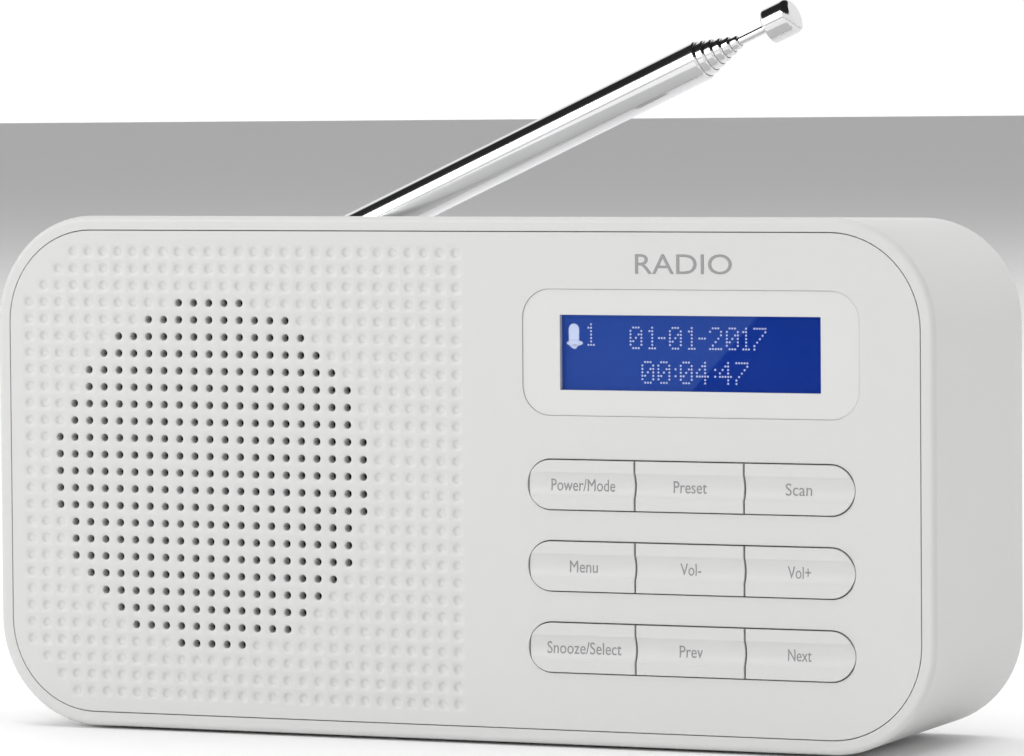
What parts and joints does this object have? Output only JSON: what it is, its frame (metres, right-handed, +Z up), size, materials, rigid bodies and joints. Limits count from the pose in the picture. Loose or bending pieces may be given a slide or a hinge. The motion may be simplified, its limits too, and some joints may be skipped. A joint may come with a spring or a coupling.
{
  "type": "tabletop radio",
  "caption": "Tabletop digital radio with a dimpled speaker grille, character display, pill-shaped key rows, battery bay and a telescopic antenna.",
  "frame": {"origin": "middle of the footprint, on the table", "axes": "+X to the right seen from the front, +Y from the front to the back, +Z up"},
  "size_m": [0.175, 0.0558, 0.1257],
  "materials": {
    "white_abs": "fine satin",
    "bezel_white": "smooth semi-gloss",
    "feet_rubber": "matte",
    "steel": "zinc plated",
    "window": "clear acrylic",
    "lcd_blue": "glossy blue",
    "diffuser": "translucent white",
    "polyimide": "amber film",
    "board_green": "solder mask",
    "black_plastic": "moulded",
    "can_steel": "tinned",
    "cloth": "woven",
    "basket_steel": "black",
    "magnet": "ferrite and plated steel",
    "surround_rubber": "matte",
    "paper_cone": "pressed paper",
    "wire_jacket": "smooth",
    "brass": "plain",
    "antenna_chrome": "polished"
  },
  "bodies": {
    "radio": {"housing": "white_abs", "front_panel": "white_abs", "rear_cover": "white_abs", "rubber_feet": "feet_rubber", "cover_screws": "steel", "battery_springs": "steel", "battery_plates": "steel", "display_bezel": "bezel_white", "display_window": "window", "lcd_cell": "lcd_blue", "lcd_backlight": "diffuser", "lcd_ribbon": "polyimide", "key_board": "board_green", "tact_switches": "black_plastic", "main_board": "board_green", "board_parts": "black_plastic", "tuner_module": "can_steel", "board_screws": "steel", "jack_board": "board_green", "jack_header": "black_plastic", "headphone_jack": "black_plastic", "dc_socket": "black_plastic", "grille_cloth": "cloth", "speaker_basket": "basket_steel", "speaker_magnet": "magnet", "speaker_surround": "surround_rubber", "speaker_screws": "steel", "speaker_wires": "wire_jacket", "battery_wires": "wire_jacket", "antenna_tag": "brass", "antenna_wire": "wire_jacket"},
    "speaker_cone": {"speaker_cone": "paper_cone"},
    "battery_door": {"battery_door": "white_abs"},
    "antenna_base": {"antenna_stud": "antenna_chrome", "antenna_nut": "brass", "antenna_pin": "antenna_chrome"},
    "antenna_arm": {"antenna_tongue": "antenna_chrome", "antenna_tube": "antenna_chrome"},
    "section_1": {"antenna_section_1": "antenna_chrome"},
    "section_2": {"antenna_section_2": "antenna_chrome"},
    "section_3": {"antenna_section_3": "antenna_chrome"},
    "section_4": {"antenna_section_4": "antenna_chrome"},
    "section_5": {"antenna_section_5": "antenna_chrome"},
    "antenna_rod": {"antenna_rod": "antenna_chrome", "antenna_tip": "antenna_chrome"},
    "key_power": {"key_power": "white_abs"},
    "key_preset": {"key_preset": "white_abs"},
    "key_scan": {"key_scan": "white_abs"},
    "key_menu": {"key_menu": "white_abs"},
    "key_vol_down": {"key_vol_down": "white_abs"},
    "key_vol_up": {"key_vol_up": "white_abs"},
    "key_snooze": {"key_snooze": "white_abs"},
    "key_prev": {"key_prev": "white_abs"},
    "key_next": {"key_next": "white_abs"}
  },
  "joints": [
    {"name": "battery_door_hinge", "type": "hinge", "parent": "radio", "child": "battery_door", "pos_m": [0.026, 0.01595, 0.0085], "axis": [-1, 0, 0], "range_deg": [0, 95]},
    {"name": "cone_travel", "type": "slide", "parent": "radio", "child": "speaker_cone", "axis": [0, 1, 0], "range_m": [-0.0006, 0.0006], "stiffness_N_per_m": 2000},
    {"name": "antenna_swivel", "type": "hinge", "parent": "radio", "child": "antenna_base", "pos_m": [-0.061, 0.016, 0.0767], "axis": [0, -1, 0], "range_deg": [-24.1, 95.9]},
    {"name": "antenna_tilt", "type": "hinge", "parent": "antenna_base", "child": "antenna_arm", "pos_m": [-0.061, 0.02205, 0.0767], "axis": [-0.4083, 0, 0.9128], "range_deg": [0, 90]},
    {"name": "section_1_slide", "type": "slide", "parent": "antenna_arm", "child": "section_1", "axis": [0.9128, 0, 0.4083], "range_m": [0, 0.075]},
    {"name": "section_2_slide", "type": "slide", "parent": "section_1", "child": "section_2", "axis": [0.9128, 0, 0.4083], "range_m": [0, 0.075]},
    {"name": "section_3_slide", "type": "slide", "parent": "section_2", "child": "section_3", "axis": [0.9128, 0, 0.4083], "range_m": [0, 0.075]},
    {"name": "section_4_slide", "type": "slide", "parent": "section_3", "child": "section_4", "axis": [0.9128, 0, 0.4083], "range_m": [0, 0.075]},
    {"name": "section_5_slide", "type": "slide", "parent": "section_4", "child": "section_5", "axis": [0.9128, 0, 0.4083], "range_m": [0, 0.075]},
    {"name": "rod_slide", "type": "slide", "parent": "section_5", "child": "antenna_rod", "axis": [0.9128, 0, 0.4083], "range_m": [0, 0.075]},
    {"name": "key_power_press", "type": "slide", "parent": "radio", "child": "key_power", "axis": [0, 1, 0], "range_m": [0, 0.0005], "stiffness_N_per_m": 1500},
    {"name": "key_preset_press", "type": "slide", "parent": "radio", "child": "key_preset", "axis": [0, 1, 0], "range_m": [0, 0.0005], "stiffness_N_per_m": 1500},
    {"name": "key_scan_press", "type": "slide", "parent": "radio", "child": "key_scan", "axis": [0, 1, 0], "range_m": [0, 0.0005], "stiffness_N_per_m": 1500},
    {"name": "key_menu_press", "type": "slide", "parent": "radio", "child": "key_menu", "axis": [0, 1, 0], "range_m": [0, 0.0005], "stiffness_N_per_m": 1500},
    {"name": "key_vol_down_press", "type": "slide", "parent": "radio", "child": "key_vol_down", "axis": [0, 1, 0], "range_m": [0, 0.0005], "stiffness_N_per_m": 1500},
    {"name": "key_vol_up_press", "type": "slide", "parent": "radio", "child": "key_vol_up", "axis": [0, 1, 0], "range_m": [0, 0.0005], "stiffness_N_per_m": 1500},
    {"name": "key_snooze_press", "type": "slide", "parent": "radio", "child": "key_snooze", "axis": [0, 1, 0], "range_m": [0, 0.0005], "stiffness_N_per_m": 1500},
    {"name": "key_prev_press", "type": "slide", "parent": "radio", "child": "key_prev", "axis": [0, 1, 0], "range_m": [0, 0.0005], "stiffness_N_per_m": 1500},
    {"name": "key_next_press", "type": "slide", "parent": "radio", "child": "key_next", "axis": [0, 1, 0], "range_m": [0, 0.0005], "stiffness_N_per_m": 1500}
  ]
}
